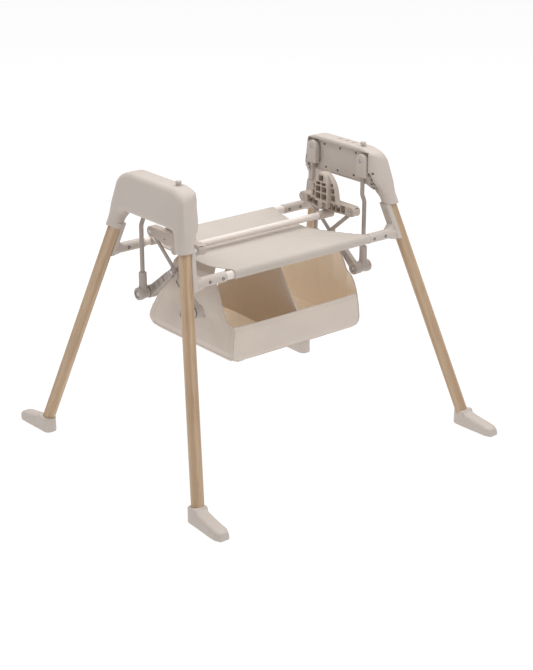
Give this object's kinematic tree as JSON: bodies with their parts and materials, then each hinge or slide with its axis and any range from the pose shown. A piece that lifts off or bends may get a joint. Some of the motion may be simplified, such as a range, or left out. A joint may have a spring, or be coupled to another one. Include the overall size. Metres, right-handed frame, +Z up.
{
  "type": "baby swing stand",
  "caption": "Free-standing swing stand: splayed wooden legs, moulded towers, hanging arms that carry ribbed seat mounts, cloth shelf and divided basket.",
  "frame": {"origin": "on the floor, midway between the four feet", "axes": "+X from the left tower to the right tower (the right one carries the controls), +Y from the open front of the basket to the rear, +Z up"},
  "size_m": [0.852, 0.811, 0.682],
  "materials": {
    "tower_plastic": "fine satin moulding",
    "linkage_plastic": "satin moulding, a little darker than the towers",
    "arm_paint": "satin powder coat",
    "painted_tube": "satin powder coat",
    "wood": "clear matt lacquer on oak or beech",
    "steel": "bright zinc",
    "shelf_cloth": "plain weave polyester",
    "basket_cloth": "plain weave polyester over stiffeners",
    "circuit_board": "solder mask",
    "battery_case": "plain",
    "coil_winding": "enamelled copper wire"
  },
  "bodies": {
    "frame": {"tower_shell_left": "tower_plastic", "tower_shell_right": "tower_plastic", "inner_cover_left": "tower_plastic", "inner_cover_right": "tower_plastic", "pivot_cover_front_left": "tower_plastic", "pivot_cover_front_right": "tower_plastic", "pivot_cover_rear_left": "tower_plastic", "pivot_cover_rear_right": "tower_plastic", "leg_front_left": "wood", "leg_front_right": "wood", "leg_rear_left": "wood", "leg_rear_right": "wood", "foot_front_left": "tower_plastic", "foot_front_right": "tower_plastic", "foot_rear_left": "tower_plastic", "foot_rear_right": "tower_plastic", "rail_bracket_front_left": "tower_plastic", "rail_bracket_front_right": "tower_plastic", "rail_bracket_rear_left": "tower_plastic", "rail_bracket_rear_right": "tower_plastic", "rail_front": "painted_tube", "rail_rear": "painted_tube", "cloth_shelf": "shelf_cloth", "storage_basket": "basket_cloth", "basket_board": "basket_cloth", "basket_divider": "basket_cloth", "control_board": "circuit_board", "battery_pack": "battery_case", "drive_coil": "coil_winding"},
    "arm_front_left": {"swing_arm_front_left": "arm_paint", "pivot_shaft_front_left": "steel", "elbow_front_left": "linkage_plastic", "elbow_pin_front_left": "steel"},
    "arm_front_right": {"swing_arm_front_right": "arm_paint", "pivot_shaft_front_right": "steel", "elbow_front_right": "linkage_plastic", "elbow_pin_front_right": "steel", "drive_lever": "linkage_plastic"},
    "arm_rear_left": {"swing_arm_rear_left": "arm_paint", "pivot_shaft_rear_left": "steel", "elbow_rear_left": "linkage_plastic", "elbow_pin_rear_left": "steel"},
    "arm_rear_right": {"swing_arm_rear_right": "arm_paint", "pivot_shaft_rear_right": "steel", "elbow_rear_right": "linkage_plastic", "elbow_pin_rear_right": "steel"},
    "carriage": {"seat_carrier_left": "linkage_plastic", "seat_carrier_right": "linkage_plastic", "cross_tube": "painted_tube", "brace_inner_left": "linkage_plastic", "brace_inner_right": "linkage_plastic", "brace_outer_left": "linkage_plastic", "brace_outer_right": "linkage_plastic", "brace_rivet_left": "steel", "brace_rivet_right": "steel"},
    "release_left": {"release_button_left": "tower_plastic"},
    "release_right": {"release_button_right": "tower_plastic"},
    "key_1": {"control_key_1": "linkage_plastic"},
    "key_2": {"control_key_2": "linkage_plastic"},
    "key_3": {"control_key_3": "linkage_plastic"}
  },
  "joints": [
    {"name": "swing", "type": "hinge", "parent": "frame", "child": "arm_front_right", "pos_m": [0.2525, -0.088, 0.642], "axis": [1, 0, 0], "range_deg": [-10, 10]},
    {"name": "swing_front_left", "type": "hinge", "parent": "frame", "child": "arm_front_left", "pos_m": [-0.2525, -0.088, 0.642], "axis": [1, 0, 0], "range_deg": [-10, 10]},
    {"name": "swing_rear_left", "type": "hinge", "parent": "frame", "child": "arm_rear_left", "pos_m": [-0.2525, 0.088, 0.642], "axis": [1, 0, 0], "range_deg": [-10, 10]},
    {"name": "swing_rear_right", "type": "hinge", "parent": "frame", "child": "arm_rear_right", "pos_m": [0.2525, 0.088, 0.642], "axis": [1, 0, 0], "range_deg": [-10, 10]},
    {"name": "carriage_pivot", "type": "hinge", "parent": "arm_front_right", "child": "carriage", "pos_m": [0.26, -0.088, 0.38], "axis": [1, 0, 0], "range_deg": [-10, 10]},
    {"name": "release_left_press", "type": "slide", "parent": "frame", "child": "release_left", "axis": [0, 0, -1], "range_m": [0, 0.003], "stiffness_N_per_m": 400, "springref_m": -0.002},
    {"name": "release_right_press", "type": "slide", "parent": "frame", "child": "release_right", "axis": [0, 0, -1], "range_m": [0, 0.003], "stiffness_N_per_m": 400, "springref_m": -0.002},
    {"name": "key_1_press", "type": "slide", "parent": "frame", "child": "key_1", "axis": [0, 0, -1], "range_m": [0, 0.001], "stiffness_N_per_m": 500, "springref_m": -0.001},
    {"name": "key_2_press", "type": "slide", "parent": "frame", "child": "key_2", "axis": [0, 0, -1], "range_m": [0, 0.001], "stiffness_N_per_m": 500, "springref_m": -0.001},
    {"name": "key_3_press", "type": "slide", "parent": "frame", "child": "key_3", "axis": [0, 0, -1], "range_m": [0, 0.001], "stiffness_N_per_m": 500, "springref_m": -0.001}
  ],
  "couplings": [
    {"joint": "swing_front_left", "follows": "swing", "ratio": 1},
    {"joint": "swing_rear_left", "follows": "swing", "ratio": 1},
    {"joint": "swing_rear_right", "follows": "swing", "ratio": 1},
    {"joint": "carriage_pivot", "follows": "swing", "ratio": -1}
  ]
}
